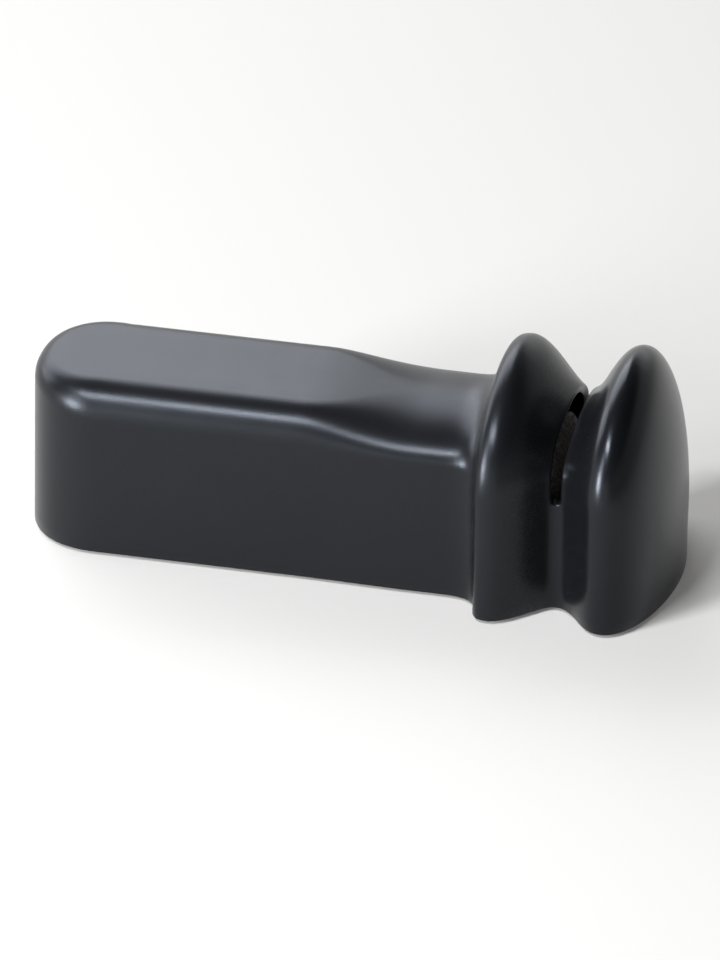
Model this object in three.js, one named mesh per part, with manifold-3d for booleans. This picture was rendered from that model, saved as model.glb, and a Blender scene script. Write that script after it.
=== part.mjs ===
// Rolling knife sharpener. A moulded housing with a handle, two humps and a knife groove between them.
// Under the groove a pair of bevelled grinding rings turns on a steel axle.
// Millimetres, +Z up, handle toward -X, head toward +X, standing on z = 0 with its middle at the origin.
import * as THREE from "three";
import { mergeVertices } from "three/addons/utils/BufferGeometryUtils.js";
import Module from "manifold-3d";

const wasm = await Module();
wasm.setup();

// Handle
const BODY_LENGTH = 150;
const HANDLE_WIDTH = 40;
const HANDLE_HEIGHT = 41.1;
const HANDLE_EDGE = 8; // rounding of the long top edges
const TAIL_DEPTH = 18.5; // length of the rounded rear end
const TAIL_POWER = 2.2; // 2 is an ellipse in plan, more is squarer
const TAIL_EDGE = 4.6; // rounding of the rear top edge
const DRAFT = 0.7; // lean of the long sides, degrees
const TAIL_DRAFT = 1.3; // lean of the rear end, degrees

// Neck, where the flat top turns into a low arch
const NECK_TURN = 27; // length over which it turns
const NECK_RUN = 7.6; // steady arch up to the head's flare
const NECK_WIDTH = 41;
const NECK_HEIGHT = 40.4;
const ARCH_RISE = 8; // height of the arch above the upright sides
const ARCH_POWER = 2;
const CROWN_FLAT = 0.5; // half-width of the level strip along the arch's crown

// Head, from the flare to the front: lengths of its stretches
const FLARE_RUN = 11.9;
const GROOVE_RUN_REAR = 13.5; // crest of the rear hump to the groove
const GROOVE_RUN_FRONT = 12.5; // groove to the crest of the front hump
const NOSE_DEPTH = 12.5; // crest of the front hump to the front end

// Head: how far the two humps and the groove stand out from the neck's arch
const REAR_HUMP = 9.3;
const GROOVE = -0.2;
const FRONT_HUMP = 9.5;
const CROWN_GAIN = 1.35; // humps rise this much more at the crown than at the sides
const ARCH_GAIN = 1.7; // and their arch grows this much taller

// Fullness of the head's curves at each end, as shares of the stretch between two stations
const FLARE_PULL = 1.04;
const REAR_HUMP_PULL = [0.64, 0.37];
const GROOVE_PULL = [0.22, 0.43];
const FRONT_HUMP_PULL = 0.46;

// Domed front face
const NOSE_SIDE_POWER = 1.8;
const NOSE_CROWN_POWER = 2.32;
const NOSE_ROUND = 0.525; // below 1 rounds the edge where the face meets the front hump
const NOSE_FOOT = 4; // upright band along the front face's lower edge

// Moulding
const WALL = 2.2;
const RIM_WALL = 1.5; // thinner wall where the cover sits inside the rim
const INNER_EDGE = 1; // least rounding inside the shell

// Knife slit, wider at the crown than at its ends
const SLIT_END_WIDTH = 2;
const SLIT_CROWN_WIDTH = 3.2;
const SLIT_DEPTH = 13.8; // from the groove's crown down to the slit's ends

// Underside
const RIM_Z = 0.8; // housing rim above the table
const COVER_RECESS = 0.4;
const COVER_THICK = 2.4;
const FOOT_RADIUS = 5;
const FOOT_TALL = 2;
const REAR_FOOT_AHEAD = 7.5; // ahead of the rounded rear end
const REAR_FOOT_INSET = 9; // in from the handle's side
const FRONT_FOOT_BEHIND = 0.5; // behind the crest of the front hump
const FRONT_FOOT_INSET = 7; // in from the neck's side

// Cover screws and the bosses they go into
const TAIL_SCREW_AHEAD = 14; // ahead of the rear end
const WAIST_SCREW_AHEAD = 5; // ahead of where the arch is steady
const FRONT_SCREW_BEHIND = 3; // behind the crest of the front hump
const FRONT_SCREW_INSET = 7.5; // in from the front hump's side
const SCREW_RADIUS = 1.3;
const SCREW_REACH = 9;
const SCREW_HEAD_RADIUS = 2.6;
const SCREW_HEAD_TALL = 1.4;
const SCREW_POCKET = 1; // hole past the screw's tip
const CROSS_ARM = 1.6;
const CROSS_HALF = 0.35;
const CROSS_DEPTH = 0.85;
const BOSS_RADIUS = 3.6;

// Wheel set, measured from the groove's middle plane outward to each side
const WHEEL_CLEARANCE = 1.2; // rings to the housing and to the cover
const AXLE_RADIUS = 2.5;
const AXLE_HALF = 16.3;
const SPACER_THICK = 1;
const SPACER_RADIUS = 6;
const HUB_LENGTH = 6.4;
const HUB_RADIUS = 8.7;
const HUB_FLANGE_RADIUS = 12;
const HUB_FLANGE = 1.4;
const RING_LEAD = 0.3; // ring's inner edge to the middle plane
const RING_BEVEL = 14; // slope of the grinding face, degrees
const RING_CHAMFER = 0.5;
const WASHER_RADIUS = 5.5;
const WASHER_THICK = 0.8;
const BUSH_LENGTH = 6;
const BUSH_RADIUS = 4.4;
const BUSH_FLANGE_RADIUS = 5.8;
const BUSH_FLANGE = 1;
const CLIP_THICK = 0.8;
const CLIP_RADIUS = 4.2;
const CLIP_MOUTH = 2.6;
const GROOVE_DEPTH = 0.5; // clip groove in the axle
const BEARING_WIDTH = 18;

// Clearances
const COVER_GAP = 0.3; // cover to rim, all round
const SEAT_GAP = 0.1; // between faces that rest on each other
const HOLE_GAP = 0.2; // round pieces in plain holes
const RUN_GAP = 0.08; // axle in its bushes
const PRESS_GAP = 0.05; // hubs and spacer on the axle
const SPLIT_GAP = 0.3; // upper and lower half of a bearing block
const CUT_OVER = 1; // cuts run this far past the faces they open

// Steps of the curved surfaces
const TAIL_STEPS = 8;
const NECK_STEPS = 6;
const HUMP_STEPS = 8;
const NOSE_STEPS = 7;
const LEG_STEPS = 2;
const SHOULDER_STEPS = 8;
const ROUND_STEPS = 24;
const RING_STEPS = 48;
const SLIT_STEPS = 8;

// Stations along the body, from the rear end
const FRONT_HUMP_AT = BODY_LENGTH - NOSE_DEPTH;
const GROOVE_AT = FRONT_HUMP_AT - GROOVE_RUN_FRONT;
const REAR_HUMP_AT = GROOVE_AT - GROOVE_RUN_REAR;
const FLARE_AT = REAR_HUMP_AT - FLARE_RUN;
const NECK_END = FLARE_AT - NECK_RUN;
const NECK_START = NECK_END - NECK_TURN;

// Places of the feet and screws: station and distance from the middle
const REAR_FOOT_AT = [TAIL_DEPTH + REAR_FOOT_AHEAD, HANDLE_WIDTH / 2 - REAR_FOOT_INSET];
const FRONT_FOOT_AT = [FRONT_HUMP_AT - FRONT_FOOT_BEHIND, NECK_WIDTH / 2 - FRONT_FOOT_INSET];
const FRONT_SCREW_Y = NECK_WIDTH / 2 + FRONT_HUMP - FRONT_SCREW_INSET;
const SCREW_AT = {
  tail: [TAIL_SCREW_AHEAD, 0],
  waist: [NECK_END + WAIST_SCREW_AHEAD, 0],
  front_left: [FRONT_HUMP_AT - FRONT_SCREW_BEHIND, FRONT_SCREW_Y],
  front_right: [FRONT_HUMP_AT - FRONT_SCREW_BEHIND, -FRONT_SCREW_Y],
};

// Sizes that follow from the ones above
const COVER_BOTTOM = RIM_Z + COVER_RECESS;
const COVER_TOP = COVER_BOTTOM + COVER_THICK;
const GROOVE_CROWN = RIM_Z + NECK_HEIGHT + CROWN_GAIN * GROOVE;
const WHEEL_ROOM = GROOVE_CROWN - WALL - COVER_TOP;
const AXLE_Z = COVER_TOP + WHEEL_ROOM / 2;
const SIDE_ROOM = NECK_WIDTH / 2 + GROOVE - WALL - AXLE_Z * Math.tan(THREE.MathUtils.degToRad(DRAFT));
const RING_RADIUS = Math.min(WHEEL_ROOM / 2, SIDE_ROOM) - WHEEL_CLEARANCE;
const HUB_FACE = SPACER_THICK / 2 + SEAT_GAP;
const HUB_BACK = HUB_FACE + HUB_LENGTH;
const RING_BACK = HUB_BACK - HUB_FLANGE - SEAT_GAP;
const RING_INNER = HUB_RADIUS + HOLE_GAP;
const RING_RISE = (RING_RADIUS - RING_INNER) * Math.tan(THREE.MathUtils.degToRad(RING_BEVEL));
const WASHER_FACE = HUB_BACK + SEAT_GAP;
const BUSH_FACE = WASHER_FACE + WASHER_THICK + SEAT_GAP;
const BUSH_BACK = BUSH_FACE + BUSH_LENGTH;
const BLOCK_FACE = BUSH_FACE + BUSH_FLANGE + HOLE_GAP;
const BLOCK_BACK = BUSH_BACK - SPLIT_GAP;
const CLIP_FACE = BUSH_BACK + HOLE_GAP;
const TALL = HANDLE_HEIGHT + REAR_HUMP * CROWN_GAIN + FRONT_HUMP * CROWN_GAIN + WALL;

// Materials
const plastic = { color: 0x17181b, roughness: 0.42, metalness: 0 };
const hubPlastic = { color: 0x3a3b3e, roughness: 0.55, metalness: 0 };
const abrasive = { color: 0x8d857a, roughness: 0.85, metalness: 0.2 };
const steel = { color: 0xb4b6b8, roughness: 0.3, metalness: 1 };
const bearing = { color: 0xd9d6cb, roughness: 0.5, metalness: 0 };
const rubber = { color: 0x1d1d1e, roughness: 0.9, metalness: 0 };

const fromTail = (station) => station - BODY_LENGTH / 2;
const smooth = (t) => t * t * (3 - 2 * t);
const mix = (a, b, t) => a + (b - a) * t;

// Closed solid from any closed geometry, with its faces turned outward
function solid(geometry) {
  geometry.deleteAttribute("normal");
  geometry.deleteAttribute("uv");
  const merged = mergeVertices(geometry, 1e-4);
  const vertProperties = Float32Array.from(merged.attributes.position.array);
  const corner = (i) => new THREE.Vector3().fromArray(vertProperties, 3 * i);
  const triangles = [];
  let volume = 0;
  for (let i = 0; i < merged.index.count; i += 3) {
    const [a, b, c] = [0, 1, 2].map((k) => merged.index.getX(i + k));
    if (a === b || b === c || c === a) continue;
    triangles.push([a, b, c]);
    volume += corner(a).dot(corner(b).cross(corner(c)));
  }
  const outward = volume > 0 ? triangles : triangles.map(([a, b, c]) => [a, c, b]);
  const triVerts = Uint32Array.from(outward.flat());
  return new wasm.Manifold(new wasm.Mesh({ numProp: 3, vertProperties, triVerts }));
}

// Named piece from a solid
function piece(name, shape, look) {
  const { vertProperties, triVerts, numProp } = shape.getMesh();
  const geometry = new THREE.BufferGeometry();
  const points = [];
  for (let i = 0; i < vertProperties.length; i += numProp) points.push(...vertProperties.slice(i, i + 3));
  geometry.setAttribute("position", new THREE.Float32BufferAttribute(points, 3));
  geometry.setIndex(Array.from(triVerts));
  geometry.computeVertexNormals();
  const mesh = new THREE.Mesh(geometry, new THREE.MeshStandardMaterial(look));
  mesh.name = name;
  return mesh;
}

function box(x0, x1, y0, y1, z0, z1) {
  const geometry = new THREE.BoxGeometry(x1 - x0, y1 - y0, z1 - z0);
  geometry.translate((x0 + x1) / 2, (y0 + y1) / 2, (z0 + z1) / 2);
  return solid(geometry);
}

// Upright cylinder on (x, y)
function post(radius, x, y, z0, z1) {
  const geometry = new THREE.CylinderGeometry(radius, radius, z1 - z0, ROUND_STEPS);
  geometry.rotateX(Math.PI / 2);
  geometry.translate(x, y, (z0 + z1) / 2);
  return solid(geometry);
}

// Solid of revolution about the X axis, from a closed outline of [radius, x] corners
function turned(outline, steps = ROUND_STEPS) {
  const points = [...outline, outline[0]].map(([r, x]) => new THREE.Vector2(r, x));
  const geometry = new THREE.LatheGeometry(points, steps);
  geometry.rotateZ(-Math.PI / 2);
  return solid(geometry);
}

// Flat outline in plan, raised from z0 to z1
function raised(points, z0, z1) {
  const shape = new THREE.Shape(points.map(([x, y]) => new THREE.Vector2(x, y)));
  const geometry = new THREE.ExtrudeGeometry(shape, { depth: z1 - z0, bevelEnabled: false });
  geometry.translate(0, 0, z0);
  return solid(geometry);
}

// Half of a cross-section, from the foot to the crown, as [distance in from the side, height] pairs
function halfSection(width, height, edgeWide, edgeTall, power, draft, foot) {
  const slope = Math.tan(THREE.MathUtils.degToRad(draft));
  const legTop = height - edgeTall;
  const lean = legTop * slope;
  const reach = Math.min(edgeWide, width - lean);
  const half = [];
  for (let i = 0; i < LEG_STEPS; i++) {
    const z = mix(foot, legTop, i / LEG_STEPS);
    half.push([z * slope, z]);
  }
  for (let i = 0; i <= SHOULDER_STEPS; i++) {
    const turn = (Math.PI / 2) * (i / SHOULDER_STEPS);
    const inward = reach * (1 - Math.cos(turn) ** (2 / power));
    half.push([lean + inward, legTop + edgeTall * Math.sin(turn) ** (2 / power)]);
  }
  half.push([width, height]);
  return half;
}

// Whole cross-section row: near side from foot to crown, then the far side back down
function row(half, place) {
  const near = half.map(([inward, z]) => place(inward, z, -1));
  const far = half.slice(0, -1).map(([inward, z]) => place(inward, z, 1));
  return [...near, ...far.reverse()];
}

// Side profile of the head, as entries of station, outset and the surface's direction along and outward
function headProfile() {
  const corners = [
    [FLARE_AT, 0, FLARE_PULL, FLARE_PULL],
    [REAR_HUMP_AT, REAR_HUMP, ...REAR_HUMP_PULL],
    [GROOVE_AT, GROOVE, ...GROOVE_PULL],
    [FRONT_HUMP_AT, FRONT_HUMP, FRONT_HUMP_PULL, FRONT_HUMP_PULL],
  ];
  const profile = [];
  for (let i = 0; i + 1 < corners.length; i++) {
    const [x0, o0, , pull0] = corners[i];
    const [x1, o1, pull1] = corners[i + 1];
    const stretch = x1 - x0;
    const curve = new THREE.CubicBezierCurve(
      new THREE.Vector2(x0, o0),
      new THREE.Vector2(x0 + pull0 * stretch, o0),
      new THREE.Vector2(x1 - pull1 * stretch, o1),
      new THREE.Vector2(x1, o1),
    );
    for (let k = i ? 1 : 0; k <= HUMP_STEPS; k++) {
      const at = curve.getPoint(k / HUMP_STEPS);
      const along = curve.getTangent(k / HUMP_STEPS);
      profile.push([at.x, at.y, -along.y, along.x]);
    }
  }
  return profile;
}

// One cross-section of the straight part, neck or head, moved in by inset along the surface
function bodyRow(station, outset, normalX, normalOut, inset, foot) {
  const t = smooth(THREE.MathUtils.clamp((station - NECK_START) / (NECK_END - NECK_START), 0, 1));
  const shrink = inset * normalOut;
  const width = mix(HANDLE_WIDTH, NECK_WIDTH, t) / 2 + outset - shrink;
  const height = mix(HANDLE_HEIGHT, NECK_HEIGHT, t) + CROWN_GAIN * outset - shrink;
  const edge = Math.max(HANDLE_EDGE - shrink, INNER_EDGE);
  const edgeWide = mix(edge, width - CROWN_FLAT, t);
  const edgeTall = mix(edge, ARCH_RISE + ARCH_GAIN * outset - shrink, t);
  const half = halfSection(width, height, edgeWide, edgeTall, mix(2, ARCH_POWER, t), DRAFT, foot);
  const x = fromTail(station - inset * normalX);
  return row(half, (inward, z, side) => new THREE.Vector3(x, side * (width - inward), z + RIM_Z));
}

// All rows of the housing's surface moved in by inset, from the rear end to the front face
function bodyRows(inset, foot) {
  const rows = [];
  const width = HANDLE_WIDTH / 2 - inset;
  const depth = TAIL_DEPTH - inset;
  for (let i = 0; i < TAIL_STEPS; i++) {
    const turn = (Math.PI / 2) * (1 - i / TAIL_STEPS);
    const back = Math.sin(turn);
    const side = Math.abs(Math.cos(turn)) ** (2 / TAIL_POWER);
    const edge = Math.max(mix(HANDLE_EDGE, TAIL_EDGE, back) - inset, INNER_EDGE);
    const draft = mix(DRAFT, TAIL_DRAFT, back);
    const half = halfSection(width, HANDLE_HEIGHT - inset, edge, edge, 2, draft, foot);
    const reach = depth * back ** (2 / TAIL_POWER);
    rows.push(row(half, (inward, z, far) => {
      const share = 1 - inward / width;
      return new THREE.Vector3(fromTail(TAIL_DEPTH - reach * share), far * width * side * share, z + RIM_Z);
    }));
  }
  const straight = [TAIL_DEPTH, (TAIL_DEPTH + NECK_START) / 2];
  for (let i = 0; i < NECK_STEPS; i++) straight.push(mix(NECK_START, NECK_END, i / NECK_STEPS));
  straight.push(NECK_END);
  for (const station of straight) rows.push(bodyRow(station, 0, 0, 1, inset, foot));
  for (const [station, outset, nx, no] of headProfile()) {
    rows.push(bodyRow(station, outset, nx, no, inset, foot));
  }
  const rim = rows[rows.length - 1];
  const crown = Math.max(...rim.map((p) => p.z)) - RIM_Z;
  const band = RIM_Z + NOSE_FOOT;
  for (let i = 1; i <= NOSE_STEPS; i++) {
    const share = Math.cos((Math.PI / 2) * (i / NOSE_STEPS));
    rows.push(rim.map((p) => {
      const level = Math.max(p.z - RIM_Z, 0) / crown;
      const power = mix(NOSE_SIDE_POWER, NOSE_CROWN_POWER, level ** 2);
      const bulge = (NOSE_DEPTH - inset) * Math.max(1 - share ** power, 0) ** NOSE_ROUND;
      const z = p.z < band ? p.z : mix(band, p.z, share);
      return new THREE.Vector3(fromTail(FRONT_HUMP_AT + bulge), p.y * share, z);
    }));
  }
  return rows;
}

// Closed form of the housing moved in by inset, with its flat underside at height foot above the rim
function bodyForm(inset, foot = 0) {
  const rows = bodyRows(inset, foot);
  const count = rows[0].length;
  const positions = rows.flat().flatMap((p) => [p.x, p.y, p.z]);
  const faces = [];
  const quad = (a, b, c, d) => faces.push(a, b, c, a, c, d);
  for (let i = 0; i + 1 < rows.length; i++) {
    const [here, next] = [i * count, (i + 1) * count];
    for (let j = 0; j + 1 < count; j++) quad(here + j, next + j, next + j + 1, here + j + 1);
    quad(here, here + count - 1, next + count - 1, next);
  }
  const geometry = new THREE.BufferGeometry();
  geometry.setAttribute("position", new THREE.Float32BufferAttribute(positions, 3));
  geometry.setIndex(faces);
  return solid(geometry);
}

// Plan outline of the housing at the rim, moved in by inset
function rimOutline(inset) {
  const rows = bodyRows(inset, 0);
  const near = rows.map((points) => [points[0].x, points[0].y]);
  const far = rows.slice(1, -1).map((points) => [points[0].x, -points[0].y]);
  return [...near, ...far.reverse()];
}

// Knife slit: an upright cut across the groove, round at its lower end and opening toward the crown
function slitCut() {
  const round = SLIT_END_WIDTH / 2;
  const bottom = GROOVE_CROWN - SLIT_DEPTH + round;
  const flare = (SLIT_CROWN_WIDTH - SLIT_END_WIDTH) / (2 * SLIT_DEPTH);
  const half = round + flare * (TALL - bottom);
  const points = [[half, TALL], [-half, TALL]];
  for (let i = 0; i <= SLIT_STEPS; i++) {
    const turn = Math.PI * (1 + i / SLIT_STEPS);
    points.push([round * Math.cos(turn), bottom + round * Math.sin(turn)]);
  }
  const shape = new THREE.Shape(points.map(([x, z]) => new THREE.Vector2(x, z)));
  const geometry = new THREE.ExtrudeGeometry(shape, { depth: BODY_LENGTH, bevelEnabled: false });
  geometry.translate(0, 0, -BODY_LENGTH / 2);
  geometry.rotateX(Math.PI / 2);
  geometry.translate(fromTail(GROOVE_AT), 0, 0);
  return solid(geometry);
}

// Round channel for a bush through one bearing block
function bushChannel(side) {
  const middle = fromTail(GROOVE_AT) + (side * (BLOCK_FACE + BLOCK_BACK)) / 2;
  const long = BLOCK_BACK - BLOCK_FACE + 2 * CUT_OVER;
  const radius = BUSH_RADIUS + HOLE_GAP;
  const geometry = new THREE.CylinderGeometry(radius, radius, long, ROUND_STEPS);
  geometry.rotateZ(Math.PI / 2);
  geometry.translate(middle, 0, AXLE_Z);
  return solid(geometry);
}

// Slab that one bearing block is cut from
function blockSlab(side, halfWidth, z0, z1) {
  const [a, b] = [BLOCK_FACE, BLOCK_BACK].map((x) => fromTail(GROOVE_AT) + side * x);
  return box(Math.min(a, b), Math.max(a, b), -halfWidth, halfWidth, z0, z1);
}

// Housing: hollow moulding with a rebate for the cover, screw bosses and the upper bearing blocks
function housing() {
  const within = bodyForm(WALL / 2);
  let shell = bodyForm(0).subtract(bodyForm(WALL, -CUT_OVER));
  shell = shell.subtract(raised(rimOutline(RIM_WALL), 0, COVER_TOP + SEAT_GAP));
  for (const [station, y] of Object.values(SCREW_AT)) {
    const boss = post(BOSS_RADIUS, fromTail(station), y, COVER_TOP + SEAT_GAP, TALL).intersect(within);
    shell = shell.add(boss);
  }
  for (const side of [-1, 1]) {
    const block = blockSlab(side, BEARING_WIDTH / 2, AXLE_Z + SPLIT_GAP / 2, TALL).intersect(within);
    shell = shell.add(block.subtract(bushChannel(side)));
  }
  for (const [station, y] of Object.values(SCREW_AT)) {
    const top = COVER_BOTTOM + SCREW_HEAD_TALL + SCREW_REACH + SCREW_POCKET;
    shell = shell.subtract(post(SCREW_RADIUS + HOLE_GAP, fromTail(station), y, 0, top));
  }
  return shell.subtract(slitCut());
}

// Cover: plate inside the rim with foot sockets, screw holes and the lower bearing blocks
function cover() {
  let plate = raised(rimOutline(RIM_WALL + COVER_GAP), COVER_BOTTOM, COVER_TOP);
  for (const side of [-1, 1]) {
    const block = blockSlab(side, BEARING_WIDTH / 2, COVER_TOP - COVER_THICK / 2, AXLE_Z - SPLIT_GAP / 2);
    plate = plate.add(block.subtract(bushChannel(side)));
  }
  for (const [station, y] of Object.values(SCREW_AT)) {
    const x = fromTail(station);
    const seat = COVER_BOTTOM + SCREW_HEAD_TALL + SEAT_GAP;
    plate = plate.subtract(post(SCREW_HEAD_RADIUS + HOLE_GAP, x, y, 0, seat));
    plate = plate.subtract(post(SCREW_RADIUS + HOLE_GAP, x, y, 0, COVER_TOP + CUT_OVER));
  }
  for (const [station, y] of [REAR_FOOT_AT, FRONT_FOOT_AT]) {
    for (const side of [-1, 1]) {
      plate = plate.subtract(post(FOOT_RADIUS + HOLE_GAP, fromTail(station), side * y, 0, FOOT_TALL + SEAT_GAP));
    }
  }
  return plate;
}

// Grinding ring for the front side: its bevelled face looks at the groove's middle plane
function grindingRing() {
  return turned([
    [RING_INNER, RING_LEAD],
    [RING_RADIUS - RING_CHAMFER, RING_LEAD + RING_RISE],
    [RING_RADIUS, RING_LEAD + RING_RISE + RING_CHAMFER],
    [RING_RADIUS, RING_BACK],
    [RING_INNER, RING_BACK],
  ], RING_STEPS);
}

// Hub with a flange behind the ring
function wheelHub() {
  const bore = AXLE_RADIUS + PRESS_GAP;
  return turned([
    [bore, HUB_FACE],
    [HUB_RADIUS, HUB_FACE],
    [HUB_RADIUS, HUB_BACK - HUB_FLANGE],
    [HUB_FLANGE_RADIUS, HUB_BACK - HUB_FLANGE],
    [HUB_FLANGE_RADIUS, HUB_BACK],
    [bore, HUB_BACK],
  ]);
}

// Flat ring on the axle between two distances from the middle plane
function collar(inner, outer, from, to) {
  return turned([[inner, from], [outer, from], [outer, to], [inner, to]]);
}

// Bush with a flange toward the wheel
function bush() {
  const bore = AXLE_RADIUS + RUN_GAP;
  return turned([
    [bore, BUSH_FACE],
    [BUSH_FLANGE_RADIUS, BUSH_FACE],
    [BUSH_FLANGE_RADIUS, BUSH_FACE + BUSH_FLANGE],
    [BUSH_RADIUS, BUSH_FACE + BUSH_FLANGE],
    [BUSH_RADIUS, BUSH_BACK],
    [bore, BUSH_BACK],
  ]);
}

// Axle with chamfered ends and a clip groove near each end
function axle() {
  const neck = AXLE_RADIUS - GROOVE_DEPTH;
  const inner = CLIP_FACE - SEAT_GAP;
  const outer = CLIP_FACE + CLIP_THICK + SEAT_GAP;
  const half = [
    [AXLE_RADIUS, inner],
    [neck, inner],
    [neck, outer],
    [AXLE_RADIUS, outer],
    [AXLE_RADIUS, AXLE_HALF - GROOVE_DEPTH],
    [neck, AXLE_HALF],
  ];
  const rear = half.map(([r, x]) => [r, -x]).reverse();
  return turned([[0, -AXLE_HALF], ...rear, ...half, [0, AXLE_HALF]]);
}

// Open clip that snaps sideways into the axle's groove
function axleClip() {
  const inner = AXLE_RADIUS - GROOVE_DEPTH + SEAT_GAP;
  const ring = collar(inner, CLIP_RADIUS, CLIP_FACE, CLIP_FACE + CLIP_THICK);
  const [from, to] = [CLIP_FACE - CUT_OVER, CLIP_FACE + CLIP_THICK + CUT_OVER];
  return ring.subtract(box(from, to, -CLIP_MOUTH / 2, CLIP_MOUTH / 2, -CLIP_RADIUS - CUT_OVER, 0));
}

// Cover screw standing head down on z = 0, with a cross recess
function coverScrew() {
  const head = post(SCREW_HEAD_RADIUS, 0, 0, 0, SCREW_HEAD_TALL);
  const shank = post(SCREW_RADIUS, 0, 0, SCREW_HEAD_TALL / 2, SCREW_HEAD_TALL + SCREW_REACH);
  const along = box(-CROSS_ARM, CROSS_ARM, -CROSS_HALF, CROSS_HALF, -CUT_OVER, CROSS_DEPTH);
  const across = box(-CROSS_HALF, CROSS_HALF, -CROSS_ARM, CROSS_ARM, -CUT_OVER, CROSS_DEPTH);
  return head.add(shank).subtract(along).subtract(across);
}

const group = new THREE.Group();
group.add(piece("body_shell", housing(), plastic));
group.add(piece("base_cover", cover(), plastic));

const wheels = new THREE.Group();
wheels.position.set(fromTail(GROOVE_AT), 0, AXLE_Z);
wheels.add(piece("axle", axle(), steel));
const spacerBore = AXLE_RADIUS + PRESS_GAP;
const spacer = collar(spacerBore, SPACER_RADIUS, -SPACER_THICK / 2, SPACER_THICK / 2);
wheels.add(piece("hub_spacer", spacer, steel));
for (const [end, turn] of [["front", 0], ["rear", Math.PI]]) {
  const half = new THREE.Group();
  half.rotation.z = turn;
  half.add(piece(`${end}_grinding_ring`, grindingRing(), abrasive));
  half.add(piece(`${end}_wheel_hub`, wheelHub(), hubPlastic));
  const washerBore = AXLE_RADIUS + RUN_GAP;
  const washer = collar(washerBore, WASHER_RADIUS, WASHER_FACE, WASHER_FACE + WASHER_THICK);
  half.add(piece(`${end}_thrust_washer`, washer, bearing));
  half.add(piece(`${end}_bush`, bush(), bearing));
  half.add(piece(`${end}_axle_clip`, axleClip(), steel));
  wheels.add(half);
}
group.add(wheels);

for (const [place, [station, y]] of Object.entries(SCREW_AT)) {
  const screw = piece(`cover_screw_${place}`, coverScrew(), steel);
  screw.position.set(fromTail(station), y, COVER_BOTTOM);
  group.add(screw);
}

for (const [end, [station, y]] of [["rear", REAR_FOOT_AT], ["front", FRONT_FOOT_AT]]) {
  for (const [hand, side] of [["left", 1], ["right", -1]]) {
    const foot = piece(`foot_${end}_${hand}`, post(FOOT_RADIUS, 0, 0, 0, FOOT_TALL), rubber);
    foot.position.set(fromTail(station), side * y, 0);
    group.add(foot);
  }
}

export default group;
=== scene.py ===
import math

import bpy
import numpy as np
from bpy.props import FloatProperty, FloatVectorProperty, PointerProperty
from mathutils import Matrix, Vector


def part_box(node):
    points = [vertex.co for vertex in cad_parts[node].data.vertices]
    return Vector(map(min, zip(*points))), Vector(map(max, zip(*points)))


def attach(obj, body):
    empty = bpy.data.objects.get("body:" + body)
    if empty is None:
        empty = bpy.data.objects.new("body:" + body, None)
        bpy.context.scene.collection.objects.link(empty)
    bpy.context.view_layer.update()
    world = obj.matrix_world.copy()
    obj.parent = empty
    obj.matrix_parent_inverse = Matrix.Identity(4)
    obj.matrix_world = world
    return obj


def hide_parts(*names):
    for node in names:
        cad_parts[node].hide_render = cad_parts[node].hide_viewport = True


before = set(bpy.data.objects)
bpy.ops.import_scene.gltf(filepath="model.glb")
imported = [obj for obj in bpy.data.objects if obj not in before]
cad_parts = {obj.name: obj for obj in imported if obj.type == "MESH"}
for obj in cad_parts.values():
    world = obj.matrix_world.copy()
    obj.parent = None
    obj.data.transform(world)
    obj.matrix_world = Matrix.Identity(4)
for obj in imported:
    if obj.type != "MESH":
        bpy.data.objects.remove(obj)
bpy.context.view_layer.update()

bl_info = {
    "name": "Rolling knife sharpener",
    "version": (1, 0, 0),
    "blender": (4, 5, 0),
    "location": "View3D > Sidebar > Sharpener",
    "description": "Models a rolling knife sharpener piece by piece around its packed frame",
    "category": "Add Mesh",
}

MM = 0.001
SHELL_LOW, SHELL_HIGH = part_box("body_shell")
AXLE_LOW, AXLE_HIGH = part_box("axle")
WHEEL_CENTRE = (AXLE_LOW + AXLE_HIGH) / 2
AXLE_RADIUS = (AXLE_HIGH.z - AXLE_LOW.z) / 2
MERGE_GAP = 0.002 * MM
ENDS = (("front", 1), ("rear", -1))
SCREWS = ("tail", "waist", "front_left", "front_right")
FEET = ("rear_left", "rear_right", "front_left", "front_right")


def length(name, default, description):
    """Length property in metres, given in millimetres."""
    return FloatProperty(name=name, description=description, default=default * MM, unit="LENGTH", precision=5)


def ratio(name, default, description):
    """Plain number without a unit."""
    return FloatProperty(name=name, description=description, default=default)


def slant(name, default, description):
    """Angle property, given in degrees."""
    return FloatProperty(name=name, description=description, default=math.radians(default), subtype="ANGLE")


def tint(name, default, description):
    """Linear colour property."""
    return FloatVectorProperty(name=name, description=description, default=default, size=3, subtype="COLOR")


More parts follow.
